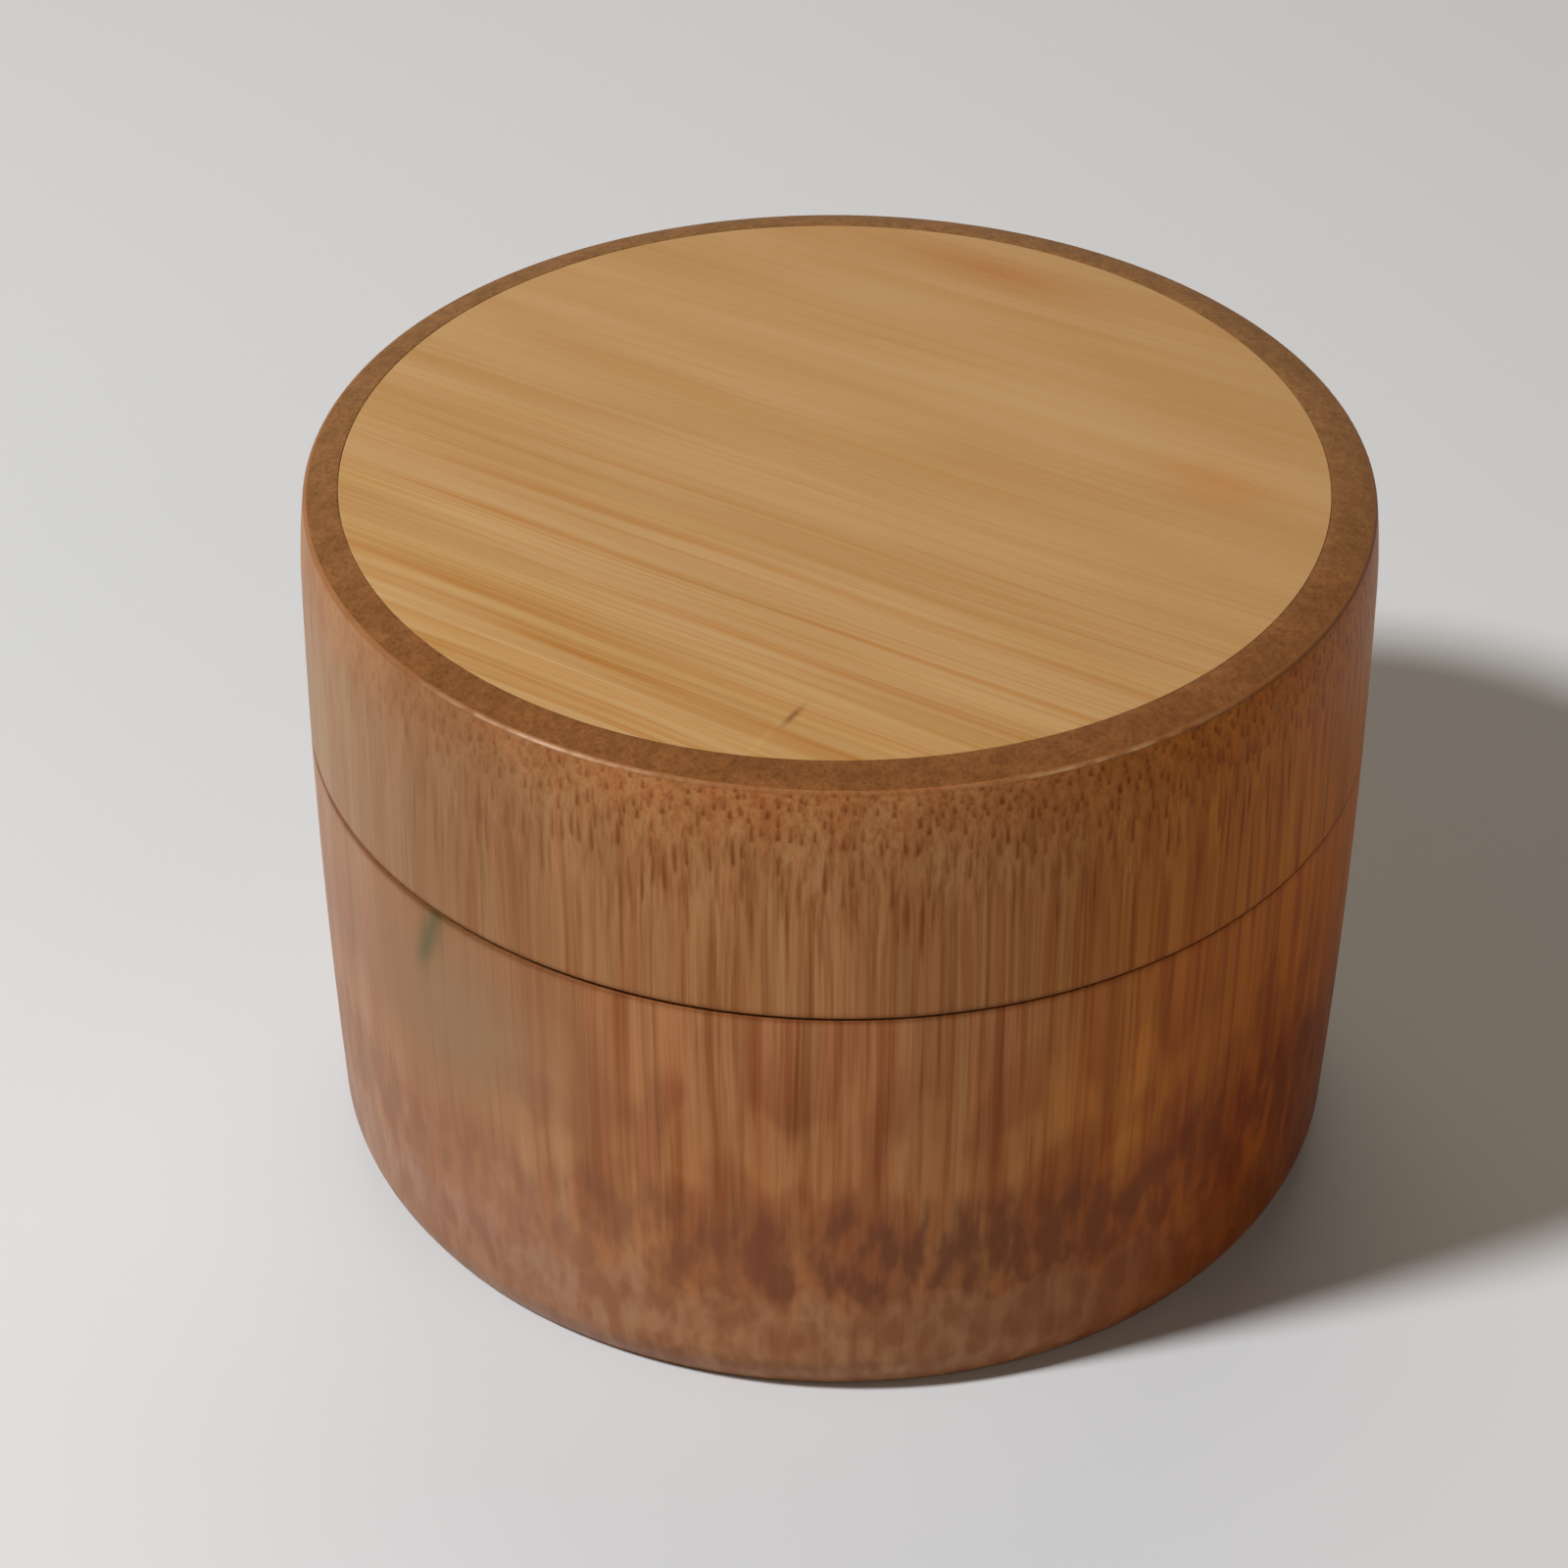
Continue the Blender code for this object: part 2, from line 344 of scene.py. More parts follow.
class Finish:
    """A material under construction. Its places are in millimetres."""

    def __init__(self, name, roughness):
        self.material = bpy.data.materials.new(name)
        self.material.use_nodes = True
        self.tree = self.material.node_tree
        self.shader = self.tree.nodes["Principled BSDF"]
        self.shader.inputs["Roughness"].default_value = roughness
        self.gloss(wood_gloss, wood_gloss_tint)
        self.place = self.node("ShaderNodeTexCoord", output="Object") * 1000.0
        self.x, self.y, self.z = self.split(self.place)

    def gloss(self, level, tint):
        self.shader.inputs["Specular IOR Level"].default_value = level
        self.shader.inputs["Specular Tint"].default_value = (*tint, 1.0)

    def node(self, kind, settings=None, inputs=None, output=0):
        """Add a node, set it, feed its sockets with fields or values, and return one output."""
        made = self.tree.nodes.new(kind)
        for name, value in (settings or {}).items():
            setattr(made, name, value)
        for name, value in (inputs or {}).items():
            socket = made.inputs[name]
            if isinstance(value, Field):
                self.tree.links.new(value.socket, socket)
            elif socket.type == "RGBA" and len(value) == 3:
                socket.default_value = (*value, 1.0)
            elif socket.type == "VECTOR" and isinstance(value, (int, float)):
                socket.default_value = (value, value, value)
            else:
                socket.default_value = value
        return Field(self, made.outputs[output])

    def split(self, vector):
        made = self.node("ShaderNodeSeparateXYZ", {}, {0: vector})
        return [Field(self, socket) for socket in made.socket.node.outputs]

    def vector(self, x, y, z):
        return self.node("ShaderNodeCombineXYZ", {}, {0: x, 1: y, 2: z})

    def mix(self, share, first, second):
        """Colour that goes from the first to the second as share goes from 0 to 1."""
        return self.node("ShaderNodeMix", {"data_type": "RGBA"}, {0: share, 6: first, 7: second}, 2)

    def rise(self, value, low, high):
        """0 below low, 1 above high and smooth between them."""
        settings = {"interpolation_type": "SMOOTHSTEP"}
        inputs = {"Value": value, "From Min": low, "From Max": high}
        return self.node("ShaderNodeMapRange", settings, inputs)

    def exp(self, value):
        return self.node("ShaderNodeMath", {"operation": "EXPONENT"}, {0: value})

    def bell(self, value, middle, width):
        """1 at the middle, falling off to both sides."""
        share = (value - middle) / width
        return self.exp(-(share * share))

    def cloud(self, vector, detail=2.0, roughness=0.5, output=0):
        """Smooth noise around 0.5, one lump per unit of the vector."""
        inputs = {"Vector": vector, "Scale": 1.0, "Detail": detail, "Roughness": roughness}
        return self.node("ShaderNodeTexNoise", {}, inputs, output)

    def dot(self, first, second):
        settings = {"operation": "DOT_PRODUCT"}
        return self.node("ShaderNodeVectorMath", settings, {0: first, 1: second}, 1)

    def done(self, colour, height, depth):
        """Connect the colour, the relief's height from 0 to 1, and its depth in metres."""
        inputs = {"Height": height, "Distance": depth, "Strength": 1.0}
        relief = self.node("ShaderNodeBump", {}, inputs)
        self.tree.links.new(colour.socket, self.shader.inputs["Base Color"])
        self.tree.links.new(relief.socket, self.shader.inputs["Normal"])
        return self.material


class Culm(Finish):
    """Browned bamboo culm: bundles of dark fibres that run up it, and turn wavy at the node."""

    def __init__(self, name, roughness, jump=0.0):
        """Jump is how far the bundles shift at the seam, in millimetres."""
        super().__init__(name, roughness)
        self.depth = top - self.z
        self.radius = (self.x * self.x + self.y * self.y) ** 0.5
        arctangent = {"operation": "ARCTAN2"}
        self.azimuth = self.node("ShaderNodeMath", arctangent, {0: self.x, 1: -self.y})
        # Red side: partly the culm's own colour, partly painted shade
        self.redness_and_shade = self.facing(red_shade_azimuth, red_shade_end, 1.0)
        # Pale side: partly the culm's own colour, partly a painted reflection
        self.paleness_and_sheen = self.facing(pale_sheen_azimuth, pale_sheen_end, 1.0)

        shift = self.depth * cut_lean - cut_depth * self.exp(self.depth / -cut_fade)
        share = (self.radius + shift) / self.radius
        wander = self.cloud(self.place * wander_scale, 1.0, output=1) - 0.5
        flat = self.vector(self.x, self.y, 0.0) * share
        self.on_lid = self.rise(self.z, seam - seam_blur, seam + seam_blur)
        jumped = self.vector(self.on_lid * jump, self.on_lid * jump, 0.0)
        self.cut = flat + wander * (1.0, 1.0, 0.0) + jumped

    def facing(self, azimuth, low, high):
        """1 where the side faces that azimuth, falling off to both sides.

        Low and high are cosines of the angle from there: 0 at low, 1 at high.
        """
        towards = (math.sin(azimuth), -math.cos(azimuth), 0.0)
        return self.rise(self.dot(self.place, towards) / self.radius, low, high)

    def bundles(self):
        """How much of a dark fibre cap shows, 0 to 1, and each bundle's own random number."""
        settings = {"voronoi_dimensions": "2D", "feature": "F1"}
        inputs = {"Vector": self.cut, "Scale": 1 / bundle_spacing, "Randomness": bundle_scatter}
        cells = self.node("ShaderNodeTexVoronoi", settings, inputs)
        centre = Field(self, cells.socket.node.outputs["Position"])
        random = self.split(Field(self, cells.socket.node.outputs["Color"]))[0]
        out = self.node("ShaderNodeVectorMath", {"operation": "NORMALIZE"}, {0: self.cut})
        away = (self.cut - centre) * (1.0, 1.0, 0.0)
        outward = self.dot(away, out)
        across = self.dot(away, away) - outward * outward
        side = self.exp(across / -(bundle_width ** 2))
        cap = self.rise(outward, *cap_start)
        rest = 1.0 - self.rise(outward, *cap_end)
        return side * cap * rest, random

    def streaks(self, width, length, detail=2.0):
        """Noise drawn out along the culm: streaks of about that width and length."""
        z = self.vector(0.0, 0.0, self.z / length)
        return self.cloud(self.cut / width + z, detail)

    def around(self, width, height, seed, detail=2.0, output=0):
        """Noise on the side, of about that width and height. Each seed gives another one."""
        spot = self.vector(self.x / width, self.y / width, self.z / height + seed)
        return self.cloud(spot, detail, output=output)


def culm_side():
    """Turned outside of the culm."""
    f = Culm("turned culm side", 0.40, bundle_jump)
    marked = 1.0 - f.facing(pale_sheen_azimuth, 0.3, 1.0) * 0.75
    colour = side_ground(f, marked)
    colour, relief = side_fibres(f, colour, marked)
    colour = side_node(f, colour, marked)
    colour = side_wear(f, colour)
    return f.done(colour, relief, side_relief)


def side_ground(f, marked):
    """Wood between the fibres: tan, red at the right and pale at the left, partly painted light:
    shade on the red side, a reflection of the lit floor on the pale side, and a band of painted
    shade round the body.

    Marked is how much of the marks shows, which is less on the pale side.
    """
    broad = f.streaks(3.0, 60.0, 1.0)
    hue = f.streaks(1.5, 50.0, 1.0)
    # Pale at the left: partly the culm's own colour, partly a painted reflection of the lit floor
    ground = f.mix(f.paleness_and_sheen, tone(160, 113, 74), tone(162, 128, 97))
    ground = ground * f.mix(f.rise(f.depth, *top_zone), (1.03, 0.92, 0.82), plain)
    pale_top = f.paleness_and_sheen * (1.0 - f.rise(f.depth, *pale_top_zone))
    ground = ground * f.mix(pale_top, plain, (1.0, 0.91, 0.80))
    # Red at the right: partly the culm's own colour, partly painted shade
    ground = f.mix(f.redness_and_shade, ground, tone(174, 104, 28))
    ground = ground * f.mix(f.on_lid, (1.06, 0.98, 1.02), plain)
    ground = ground * f.mix(f.rise(broad, 0.35, 0.65), (0.88, 0.82, 0.76), plain)
    ground = ground * f.mix(f.rise(hue, 0.34, 0.66), (1.06, 1.0, 0.97), (1.01, 1.04, 1.01))
    red_foot = f.redness_and_shade * (1.0 - f.rise(f.z, *red_foot_zone))
    ground = ground * f.mix(red_foot, plain, (0.74, 0.60, 0.50))
    ground = ground * f.mix(f.facing(front_azimuth, 0.6, 1.0), plain, (1.10, 1.14, 1.16))
    stripe = f.bell(f.azimuth, stripe_azimuth, stripe_width) * f.rise(f.z, *stripe_zone)
    ground = ground * f.mix(stripe, plain, (0.75, 0.81, 0.90))
    # Painted shade: a darker band round the body, left out at one stretch
    spared = f.bell(f.azimuth, spared_azimuth, spared_width)
    painted_shade_band = f.bell(f.z, shade_band_height, shade_band_reach) * (1.0 - spared)
    ground = ground * f.mix(painted_shade_band, plain, (0.89, 0.87, 0.92))
    oval = f.around(4.6, 8.5, seed=29.0, detail=1.0)
    ovals = f.mix(f.rise(oval, 0.40, 0.60), (0.86, 0.76, 0.70), (1.10, 1.11, 1.0))
    return ground * f.mix((1.0 - f.rise(f.z, *oval_zone)) * marked, plain, ovals)


def side_fibres(f, ground, marked):
    """Dark fibres: dashes under the rim, and streaks down to the node. Gives colour and relief."""
    bundle, random = f.bundles()
    fine = f.streaks(0.28, 30.0)
    medium = f.streaks(0.7, 60.0)
    lengthwise = f.rise(f.depth, *streak_zone)
    straight = 0.25 + f.rise(f.z, *straight_zone) * 0.75
    crisp = 0.25 + f.rise(f.z, *crisp_zone) * 0.55
    shade = f.rise(medium, 0.42, 0.66) * (0.60 + lengthwise * 0.15) * straight * marked
    colour = ground * f.mix(shade, plain, (0.71, 0.56, 0.46))
    hair = f.rise(fine, 0.42, 0.68) * straight * marked * crisp
    colour = colour * f.mix(hair, plain, (0.80, 0.70, 0.60))
    dash = bundle * (1.0 - lengthwise * 0.40) * (0.6 + random * 0.4)
    dash = dash * straight * marked * (crisp + 0.2)
    colour = colour * f.mix(dash, plain, (0.56, 0.38, 0.28))
    return colour, 0.6 - bundle * 0.6 + fine * 0.4


def side_node(f, colour, marked):
    """The natural node: dark tongues above, then mottled wood with pale curved lines."""
    swell = f.around(13.0, 60.0, seed=5.0, detail=1.0) - 0.5
    flame = f.around(1.6, 16.0, seed=3.0) * 0.6
    flame = flame + f.around(4.0, 9.0, seed=7.0, detail=1.0) * 0.4
    crest = node_top + swell * tongue_swell + f.redness_and_shade * tongue_lift
    upper = f.rise(flame + (crest - f.z) / tongue_height, 0.34, 0.66)
    wave = f.around(2.4, 5.0, seed=11.0)
    level = (f.z - node_low - swell * node_swell) / node_swing
    above = f.rise(wave + level, 0.36, 0.66)
    blotch = f.around(1.7, 5.0, seed=23.0)
    spots = f.rise(blotch, 0.36, 0.62)
    zone = upper * above
    dark = f.mix(f.redness_and_shade, tone(116, 69, 48), tone(100, 38, 4))
    darkness = (0.92 - f.facing(pale_sheen_azimuth, 0.0, 0.8) * 0.50) * (1.0 - f.redness_and_shade * 0.2)
    colour = f.mix(zone * darkness * (0.42 + spots * 0.58), colour, dark)
    fleck = f.bell(blotch, 0.37, 0.04) * zone * marked * 0.45
    colour = colour * f.mix(fleck, plain, (1.22, 1.10, 1.0))

    warp = (f.around(5.0, 7.0, seed=17.0, output=1) - 0.5) * 1.8
    cells = {"Vector": f.place / (4.2, 4.2, 5.5) + warp, "Scale": 1.0}
    border = f.node("ShaderNodeTexVoronoi", {"feature": "DISTANCE_TO_EDGE"}, cells)
    lower = f.mix(f.redness_and_shade, tone(152, 106, 75), tone(124, 60, 14))
    lower = f.mix(f.paleness_and_sheen, lower, tone(158, 120, 98))
    mottle = spots * (0.6 + marked * 0.25)
    lower = lower * f.mix(mottle, (1.03, 1.04, 1.04), (0.76, 0.63, 0.55))
    lines = f.bell(border, 0.0, 0.11) * (0.05 + marked * 0.4)
    lower = lower * f.mix(lines, plain, (1.28, 1.42, 1.42))
    return f.mix((1.0 - above) * 0.9, colour, lower)


def side_wear(f, colour):
    """What light, hands and years have done to the side: soft shades, haze, grazes and grime, with
    painted shade at the far right foot and in the seam, and a painted highlight on the arris.
    """
    bleached = f.bell(f.azimuth, bleached_azimuth, bleached_width)
    bleached = bleached * (1.0 - f.rise(f.z, *bleached_zone))
    colour = colour * f.mix(bleached, plain, (1.02, 1.12, 1.28))
    # Painted shade: the foot at the far right, turned from the lamp, is darker
    painted_shade_foot = f.facing(shade_foot_azimuth, 0.75, 1.0) * (1.0 - f.rise(f.z, *shade_foot_zone))
    colour = colour * f.mix(painted_shade_foot, plain, (0.76, 0.68, 0.60))
    for azimuth, width, height, reach, shade in soft_patches:
        beside = f.bell(f.azimuth, math.radians(azimuth), math.radians(width))
        patch = beside * f.bell(f.z, height, reach)
        colour = colour * f.mix(patch, plain, shade)

    # At the left, under the seam, a grey haze and a dark greenish graze
    below = 1.0 - f.rise(f.z, *below_zone)
    haze = f.bell(f.azimuth, haze_azimuth, haze_width) * f.bell(f.z, haze_height, haze_reach)
    colour = f.mix(haze * below * 0.85, colour, tone(142, 112, 84))
    slant = f.azimuth - graze_azimuth + (seam - f.z) * graze_slope
    graze = f.bell(slant, 0.0, graze_width) * f.rise(f.z, *graze_zone) * below
    colour = f.mix(graze * 0.8, colour, tone(92, 88, 56))

    # The rim's edge is darker, and rubbed pale in two places, where it also carries a painted
    # highlight
    left_rub_and_highlight = f.bell(f.azimuth, rub_and_highlight_left, rub_and_highlight_reach)
    right_rub_and_highlight = f.bell(f.azimuth, rub_and_highlight_right, rub_and_highlight_reach)
    rubbed_and_highlit = (left_rub_and_highlight + right_rub_and_highlight) * f.rise(f.cloud(f.place * 0.45, 2.0), 0.35, 0.60)
    edge = f.rise(f.z, *edge_zone)
    colour = f.mix(edge * (0.6 + f.redness_and_shade * 0.35), colour, tone(122, 79, 47))
    # Rubbed wear and painted highlight along the arris
    arris = f.bell(f.z, arris_highlight_height, arris_highlight_reach) * rubbed_and_highlit
    pale = f.mix(f.rise(f.azimuth, 0.0, 0.2), tone(205, 172, 144), tone(186, 150, 108))
    colour = f.mix(arris * 0.75, colour, pale)

    # Grime and painted shade in the seam, most where it is open
    opened = f.bell(f.azimuth, seam_open_azimuth, grime_and_shade_width)
    low_grime_and_shade = f.bell(f.z, low_grime_and_shade_height, low_grime_and_shade_reach) * opened * 0.5
    grime_and_shade = f.bell(f.z, grime_and_shade_height, grime_and_shade_reach) + low_grime_and_shade
    return colour * f.mix(grime_and_shade * (1.0 - f.redness_and_shade * 0.5), plain, (0.52, 0.42, 0.34))


def end_grain():
    """Cut end of the culm: fine dark dots in brown, paler and greyer towards the back with a painted
    sheen.
    """
    f = Culm("end grain", 0.60)
    bundle = f.bundles()[0]
    speckle = f.cloud(f.place * 3.4, 2.0, 0.6)
    broad = f.cloud(f.place * 0.25, 1.0)
    ground = f.mix(f.rise(broad, 0.35, 0.65), tone(124, 80, 45), tone(116, 75, 41))
    # Painted sheen: paler and greyer towards the back, where the back lamp glances off
    ground = ground * f.mix(f.facing(math.pi, -1.0, 0.6), (0.96, 0.96, 0.96), (1.08, 1.35, 1.60))
    ground = ground * f.mix(f.rise(speckle, 0.36, 0.68) * 0.7, plain, (0.72, 0.65, 0.59))
    mottle = f.rise(f.cloud(f.place * 0.9, 2.0), 0.35, 0.65)
    ground = ground * f.mix(mottle, (0.92, 0.89, 0.86), (1.10, 1.08, 1.06))
    colour = ground * f.mix(bundle * 0.35, plain, (0.55, 0.45, 0.40))
    return f.done(colour, speckle, end_relief)


def bore_wall():
    """Turned inside of the jar and the lid: paler wood from near the culm's soft middle."""
    f = Culm("turned bore", 0.6)
    bundle = f.bundles()[0]
    fine = f.streaks(0.35, 20.0)
    medium = f.streaks(1.2, 40.0)
    ground = f.mix(f.rise(medium, 0.3, 0.7), tone(196, 152, 98), tone(178, 130, 80))
    ground = f.mix(f.rise(fine, 0.4, 0.75) * 0.4, ground, tone(150, 100, 58))
    colour = f.mix(bundle * 0.5, ground, tone(120, 74, 42))
    return f.done(colour, 0.6 - bundle * 0.6 + fine * 0.4, bore_relief)


def node_face():
    """The culm's own cross wall, above and below: smooth, pale and faintly ringed."""
    f = Culm("natural node", 0.55)
    rings = f.cloud(f.vector(f.radius / 2.0, f.azimuth * 0.6, 0.0), 2.0)
    lumps = f.cloud(f.place * 0.18, 3.0)
    pores = f.cloud(f.place * 2.0, 2.0)
    ground = f.mix(f.rise(lumps, 0.35, 0.65), tone(202, 164, 112), tone(182, 138, 86))
    ground = f.mix(f.rise(rings, 0.45, 0.70) * 0.4, ground, tone(160, 112, 66))
    colour = f.mix(f.rise(pores, 0.62, 0.72) * 0.5, ground, tone(130, 84, 50))
    return f.done(colour, lumps * 0.7 + pores * 0.3, node_relief)


def board_face():
    """Sanded bamboo board with its grain running across the lid."""
    f = Finish("bamboo board", 0.42)
    along = f.x * math.cos(grain_turn) - f.y * math.sin(grain_turn)
    across = -f.x * math.sin(grain_turn) - f.y * math.cos(grain_turn)
    sway = f.cloud(f.vector(along / 30, across / 12, f.z / 10), 1.0) - 0.5
    line = across - along * across * grain_fan + sway * grain_sway
    breaks = f.cloud(f.vector(along / 30, line / 3, f.z / 10), 2.0)
    shown = f.rise(breaks, 0.30, 0.62)
    crisp = f.rise(across, *crisp_zone_across) * 0.6 + 0.4

    def lines(table):
        """How much of the fibre lines in a table shows."""
        total = 0.0
        for middle, width, strength in table:
            total = total + f.bell(line, middle, width) * strength
        return total * shown

    soft = f.cloud(f.vector(along / 50, line / 1.5, f.z / 3), 2.0)
    fine = f.cloud(f.vector(along / 35, line / 0.35, f.z / 2), 2.0)
    broad = f.cloud(f.vector(along / 40, line / 7.0, 5.0), 1.0)
    colour = f.mix(f.rise(broad, 0.3, 0.7), tone(172, 137, 93), tone(165, 128, 81))
    colour = colour * f.mix(f.rise(soft, 0.40, 0.75) * 0.5, plain, (0.92, 0.82, 0.66))
    colour = colour * f.mix(f.rise(fine, 0.42, 0.72) * crisp, plain, (0.92, 0.82, 0.66))
    colour = colour * f.mix(lines(dark_lines) * crisp, plain, (0.92, 0.73, 0.50))
    colour = colour * f.mix(lines(pale_lines) * crisp * 0.6, plain, (1.14, 1.20, 1.18))
    close = f.cloud(f.vector(along / 45, line / 0.8, f.z / 3), 2.0)
    close_grain = f.mix(f.rise(close, 0.36, 0.64), (1.04, 1.09, 1.14), (0.95, 0.85, 0.72))
    colour = colour * f.mix(f.rise(across, *close_zone_across), plain, close_grain)
    for middle, length, offset, width, strength, shade in board_marks:
        mark = f.bell(along, middle, length) * f.bell(across, offset, width) * strength
        colour = colour * f.mix(mark, plain, shade)
    return f.done(colour, fine, board_relief)


def rounded(corners):
    """Replace each corner (radius, height, rounding, finish) by an arc of that rounding."""
    profile = []
    for index, (x, z, rounding, finish) in enumerate(corners):
        if rounding == 0.0:
            profile.append((x, z, finish))
            continue
        here = Vector((x, z))
        back = Vector(corners[index - 1][:2]) - here
        ahead = Vector(corners[(index + 1) % len(corners)][:2]) - here
        longest = corner_reach * min(back.length, ahead.length)
        back.normalize()
        ahead.normalize()
        half_opening = back.angle(ahead) / 2
        reach = min(rounding / math.tan(half_opening), longest)
        radius = reach * math.tan(half_opening)
        middle = (back + ahead).normalized()
        centre = here + middle * math.hypot(reach, radius)
        start = (here + back * reach) - centre
        sweep = start.angle_signed((here + ahead * reach) - centre)
        for step in range(arc_points + 1):
            angle = math.atan2(start.y, start.x) - sweep * step / arc_points
            spot = centre + Vector((math.cos(angle), math.sin(angle))) * radius
            profile.append((spot.x, spot.y, finish))
    return profile


def turned(name, profile_at, closed, finishes):
    """Turn a profile about Z. profile_at gives its points (radius, height, finish) at an azimuth."""
    vertices = []
    faces = []
    face_finish = []
    rings = []
    for step in range(turn_steps):
        azimuth = 2 * math.pi * step / turn_steps
        profile = profile_at(azimuth)
        ring = []
        for radius, height, finish in profile:
            if radius == 0.0 and rings:
                ring.append(rings[0][len(ring)])
                continue
            ring.append(len(vertices))
            vertices.append((radius * math.sin(azimuth), -radius * math.cos(azimuth), height))
        rings.append(ring)
    spans = len(profile) if closed else len(profile) - 1
    for step in range(turn_steps):
        here = rings[step]
        beside = rings[(step + 1) % turn_steps]
        for index in range(spans):
            after = (index + 1) % len(profile)
            corners = [here[index], here[after], beside[after], beside[index]]
            faces.append(list(dict.fromkeys(corners)))
            face_finish.append(profile[index][2])
    mesh = bpy.data.meshes.new(name)
    mesh.from_pydata(vertices, [], faces)
    names = list(dict.fromkeys(face_finish))
    for finish in names:
        mesh.materials.append(finishes[finish])
    mesh.polygons.foreach_set("material_index", [names.index(finish) for finish in face_finish])
    mesh.shade_smooth()
    mesh.set_sharp_from_angle(angle=sharp_angle)
    piece = bpy.data.objects.new(name, mesh)
    bpy.context.scene.collection.objects.link(piece)
    return piece


def side_curve(high, low):
    """Corners down the outside from one height to another, both ends included."""
    points = []
    for step in range(side_points + 1):
        height = high + (low - high) * step / side_points
        points.append((side_radius(height), height, 0.0, "side"))
    return points


def seam_openness(azimuth):
    """1 where the seam is most worn and open, 0 across from there."""
    return ((1 + math.cos(azimuth - seam_open_azimuth)) / 2) ** 3


def seam_ease(azimuth):
    return seam_ease_tight + (seam_ease_open - seam_ease_tight) * seam_openness(azimuth)


def shoulder_at(azimuth):
    """Height of the body's shoulder, which comes up to the lid where the seam is tight."""
    gap = seam_tight_gap + (seat_gap - seam_tight_gap) * seam_openness(azimuth)
    return lid_bottom - gap


def ripple(azimuth, radius, height):
    """Unevenness of the natural node at a point, fading out at the wall."""
    spot = Vector((radius * math.sin(azimuth), -radius * math.cos(azimuth), height))
    fade = max(0.0, 1 - (radius / floor_radius) ** ripple_fade)
    return node_ripple * fade * noise.fractal(spot * ripple_scale, 1.0, 2.0, ripple_octaves)


def dished(azimuth, edge_radius, edge_height, rise, outward):
    """Corners of a face of the node, higher on the axis by rise than at its edge."""
    points = []
    for step in range(dish_points + 1):
        share = step / dish_points
        radius = edge_radius * share
        turn = azimuth if step else 0.0
        height = edge_height + rise * (1 - share ** 2) + ripple(turn, radius, edge_height)
        points.append((radius, height, 0.0, "node"))
    return points if outward else points[::-1]


def foot_curve():
    """Corners down the foot's rounding, which bends in until the flat foot cuts it."""
    points = []
    for step in range(1, foot_points + 1):
        share = step / foot_points
        radius = foot_radius + foot_round_width - foot_round_width * share ** foot_round_bow
        points.append((radius, foot_round_height * (1 - share), 0.0, "side"))
    points[-1] = (foot_radius, 0.0, foot_edge_ease, "end")
    return points


def body_profile(azimuth):
    """Culm section with the jar bored out above the node and the foot ring left below it."""
    corners = dished(azimuth, floor_radius, floor_height, -floor_dish, True)
    corners[-1] = (floor_radius, floor_height, floor_fillet, "bore")
    corners += [
        (bore_radius, spigot_top, spigot_lip_ease, "end"),
        (spigot_radius - spigot_lead, spigot_top, lead_ease, "end"),
        (spigot_radius, spigot_top - spigot_lead, lead_ease, "bore"),
        (spigot_radius, shoulder_at(azimuth), 0.0, "end"),
    ]
    outside = side_curve(shoulder_at(azimuth), foot_round_height)
    outside[0] = (*outside[0][:2], seam_ease(azimuth), "side")
    corners += outside + foot_curve()
    corners += [(recess_radius, 0.0, foot_ring_ease, "bore")]
    underside = dished(azimuth, recess_radius, node_underside, floor_dish, False)
    underside[0] = (recess_radius, node_underside, recess_fillet, "node")
    return rounded(corners + underside)


def ring_profile(azimuth):
    """Culm ring: socket for the spigot below, ledge and off-centre rebate for the board above."""
    out = board_offset * math.sin(azimuth)
    beside = board_offset * math.cos(azimuth)
    rebate = out + math.sqrt(rebate_radius ** 2 - beside ** 2) - glue_gap + board_gap
    outside = side_curve(rim_height, lid_bottom)
    outside[0] = (*outside[0][:2], rim_ease, "side")
    outside[-1] = (*outside[-1][:2], seam_ease(azimuth), "end")
    corners = [
        (bore_radius, ledge_height, 0.0, "end"),
        (rebate, ledge_height, 0.0, "end"),
        (rebate, total_height, rebate_ease, "end"),
        (rebate_radius + abs(board_offset), total_height - rim_fall, 0.0, "end"),
    ]
    corners += outside
    corners += [
        (socket_radius + socket_lead, lid_bottom, 0.0, "bore"),
        (socket_radius, lid_bottom + socket_lead, 0.0, "bore"),
        (socket_radius, socket_top, 0.0, "end"),
        (bore_radius, socket_top, 0.0, "bore"),
    ]
    return rounded(corners)


def board_profile(azimuth):
    """Round board, the same at every azimuth, that ends flush with the rim."""
    underside = ledge_height + board_bed
    corners = [
        (0.0, total_height, 0.0, "board"),
        (board_radius / 2, total_height, 0.0, "board"),
        (board_radius, total_height, board_ease, "board"),
        (board_radius, underside, board_ease, "board"),
        (board_radius / 2, underside, 0.0, "board"),
        (0.0, underside, 0.0, "board"),
    ]
    return rounded(corners)


def make_canister():
    finishes = {
        "side": culm_side(),
        "end": end_grain(),
        "bore": bore_wall(),
        "node": node_face(),
        "board": board_face(),
    }
    body = turned("turned_body", body_profile, False, finishes)
    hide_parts("body")
    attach(body, "jar")

    ring = turned("culm_ring", ring_profile, True, finishes)
    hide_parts("lid_ring")
    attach(ring, "lid")

    board = turned("inlaid_board", board_profile, False, finishes)
    board.location.x = board_offset
    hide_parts("lid_panel")
    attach(board, "lid")


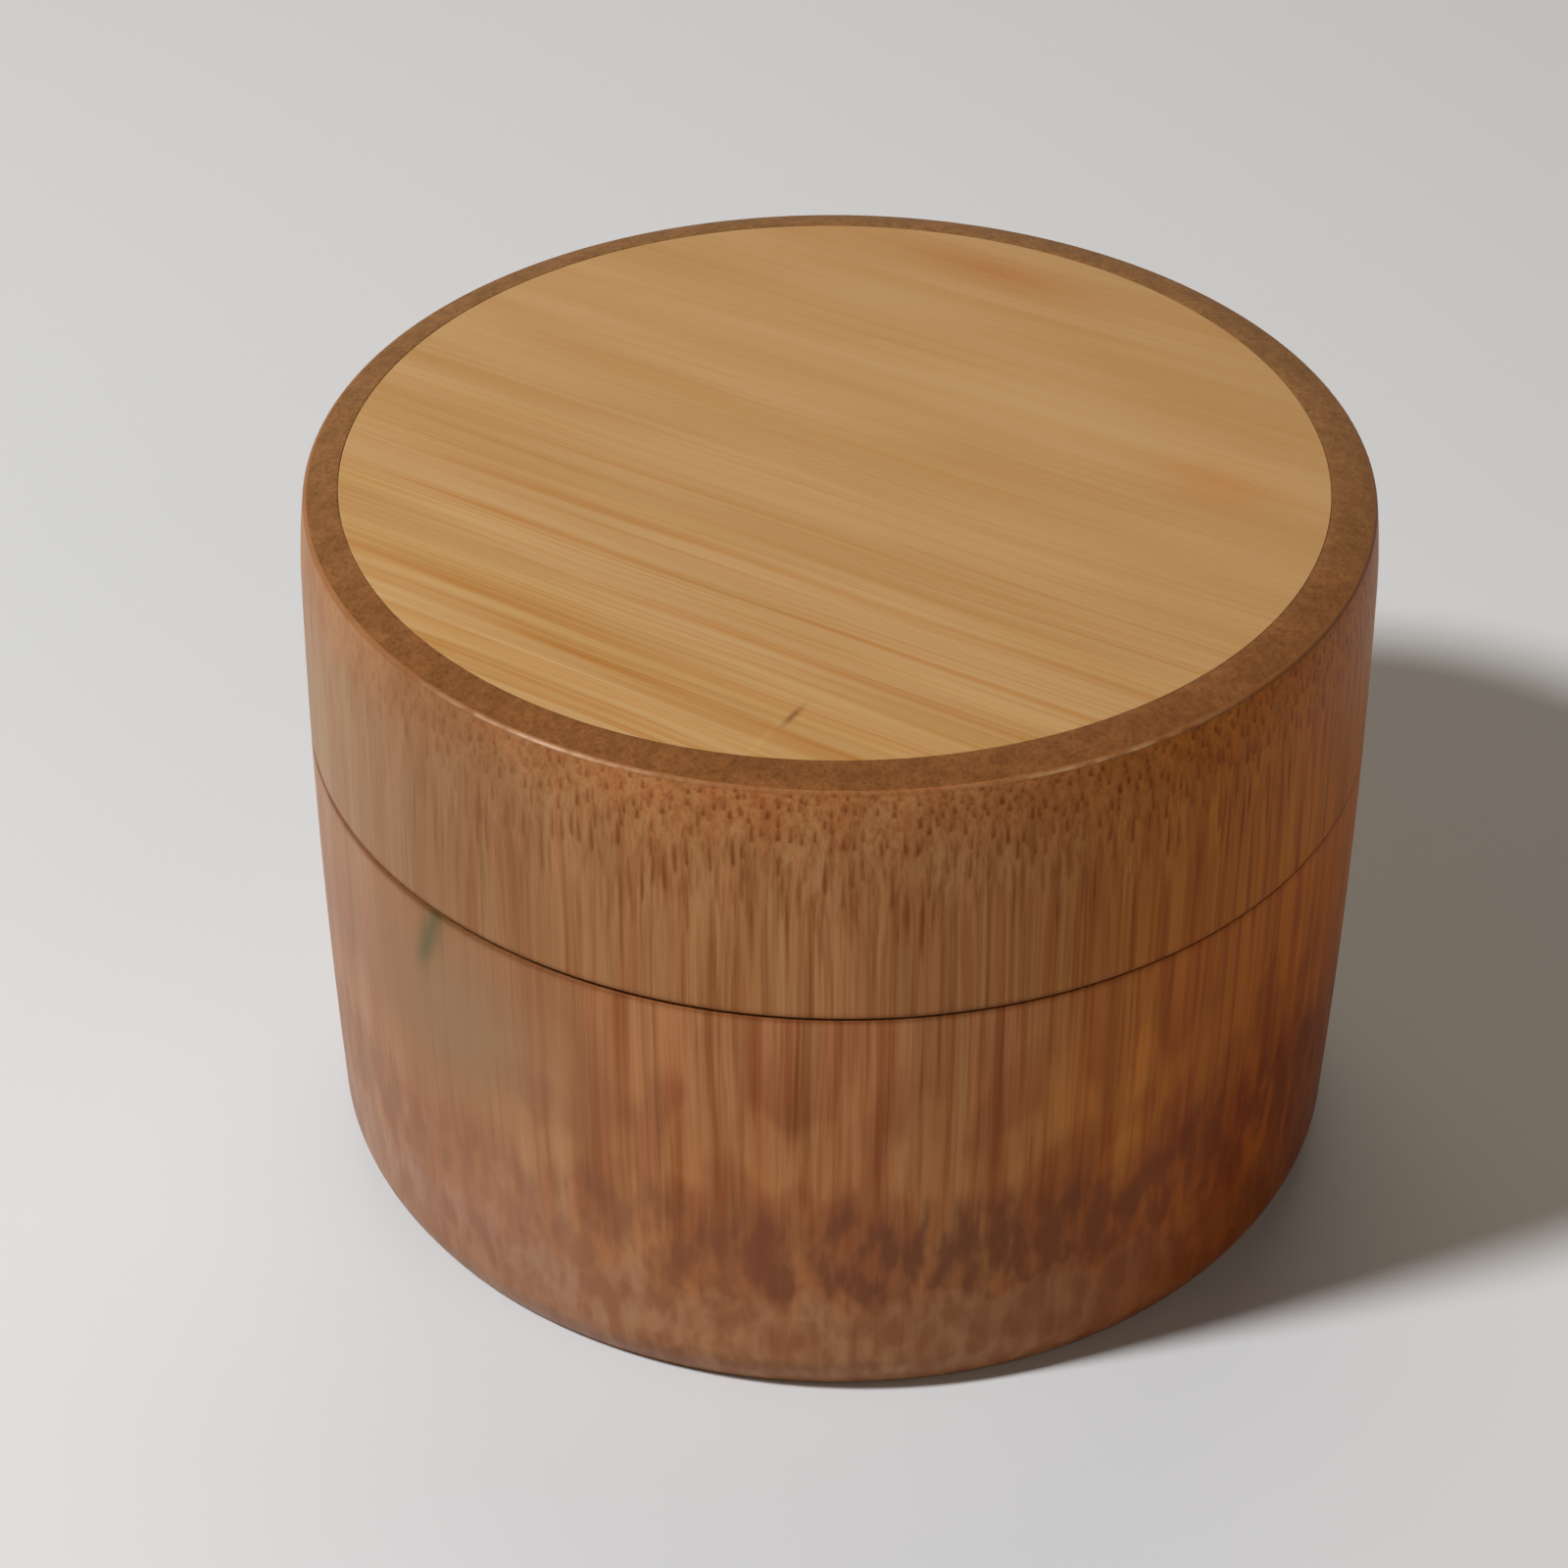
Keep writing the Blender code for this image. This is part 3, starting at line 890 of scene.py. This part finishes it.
def make_camera():
    forward = Vector((0.0, math.cos(camera_elevation), -math.sin(camera_elevation)))
    right = Vector((1.0, 0.0, 0.0))
    up = right.cross(forward)
    place = Vector((0.0, 0.0, camera_aim_height)) - forward * camera_distance
    yaw = Matrix.Rotation(camera_yaw, 3, up)
    forward = yaw @ forward
    right = yaw @ right
    pitch = Matrix.Rotation(camera_pitch, 3, right)
    forward = pitch @ forward
    up = pitch @ up
    roll = Matrix.Rotation(camera_roll, 3, forward)
    right = roll @ right
    up = roll @ up
    data = bpy.data.cameras.new("camera")
    data.lens = camera_lens
    data.clip_start = camera_clip_start
    camera = bpy.data.objects.new("camera", data)
    turn = Matrix((right, up, -forward)).transposed()
    camera.matrix_world = Matrix.Translation(place) @ turn.to_4x4()
    bpy.context.scene.collection.objects.link(camera)
    bpy.context.scene.camera = camera


def make_lamps():
    """Each level is the light on a surface that faces the lamp: 1 shows a colour as written."""
    for name, (turn, lift, distance, size, level, warmth) in lamps.items():
        azimuth = math.radians(turn)
        elevation = math.radians(lift)
        towards = Vector((
            math.sin(azimuth) * math.cos(elevation),
            -math.cos(azimuth) * math.cos(elevation),
            math.sin(elevation),
        ))
        data = bpy.data.lights.new(name, "AREA")
        data.shape = "DISK"
        data.size = size
        data.energy = level * (math.pi * distance) ** 2
        data.color = [1 + (shade - 1) * warmth for shade in warm_light]
        holder = bpy.data.objects.new(name, data)
        holder.location = towards * distance
        holder.rotation_mode = "QUATERNION"
        holder.rotation_quaternion = towards.to_track_quat("Z", "Y")
        bpy.context.scene.collection.objects.link(holder)


def seen_directly(tree):
    """1 for what the camera, gloss and glass see, 0 for what only lights the object."""
    rays = tree.nodes.new("ShaderNodeLightPath")
    seen = rays.outputs["Is Camera Ray"]
    for kind in ("Is Glossy Ray", "Is Transmission Ray"):
        both = tree.nodes.new("ShaderNodeMath")
        both.operation = "MAXIMUM"
        tree.links.new(seen, both.inputs[0])
        tree.links.new(rays.outputs[kind], both.inputs[1])
        seen = both.outputs[0]
    return seen


def make_room():
    """Dim warm room light, and a pale backdrop that the camera and the gloss see instead."""
    world = bpy.data.worlds.new("room")
    world.use_nodes = True
    tree = world.node_tree
    room = tree.nodes["Background"]
    room.inputs["Color"].default_value = (*warm_light, 1.0)
    room.inputs["Strength"].default_value = room_level
    backdrop = tree.nodes.new("ShaderNodeBackground")
    backdrop.inputs["Color"].default_value = (*backdrop_tone, 1.0)
    choice = tree.nodes.new("ShaderNodeMixShader")
    tree.links.new(seen_directly(tree), choice.inputs[0])
    tree.links.new(room.outputs[0], choice.inputs[1])
    tree.links.new(backdrop.outputs[0], choice.inputs[2])
    tree.links.new(choice.outputs[0], tree.nodes["World Output"].inputs[0])
    bpy.context.scene.world = world


def make_floor():
    """Pale floor that takes the shadow and passes into the backdrop's tone far out."""
    f = Finish("pale floor", 0.7)
    f.shader.inputs["Base Color"].default_value = (*floor_tone, 1.0)
    f.gloss(floor_gloss, plain)
    away = (f.x * f.x + f.y * f.y) ** 0.5
    far = f.rise(away, floor_near, floor_far) * Field(f, seen_directly(f.tree))
    backdrop = f.node("ShaderNodeEmission", {}, {"Color": backdrop_tone})
    lit = Field(f, f.shader.outputs[0])
    surface = f.node("ShaderNodeMixShader", {}, {0: far, 1: lit, 2: backdrop})
    f.tree.links.new(surface.socket, f.tree.nodes["Material Output"].inputs["Surface"])
    bpy.ops.mesh.primitive_plane_add(size=2 * floor_reach)
    floor = bpy.context.object
    floor.name = "floor"
    floor.data.materials.append(f.material)


make_canister()
make_camera()
make_lamps()
make_room()
make_floor()
bpy.context.scene.view_settings.view_transform = "Standard"
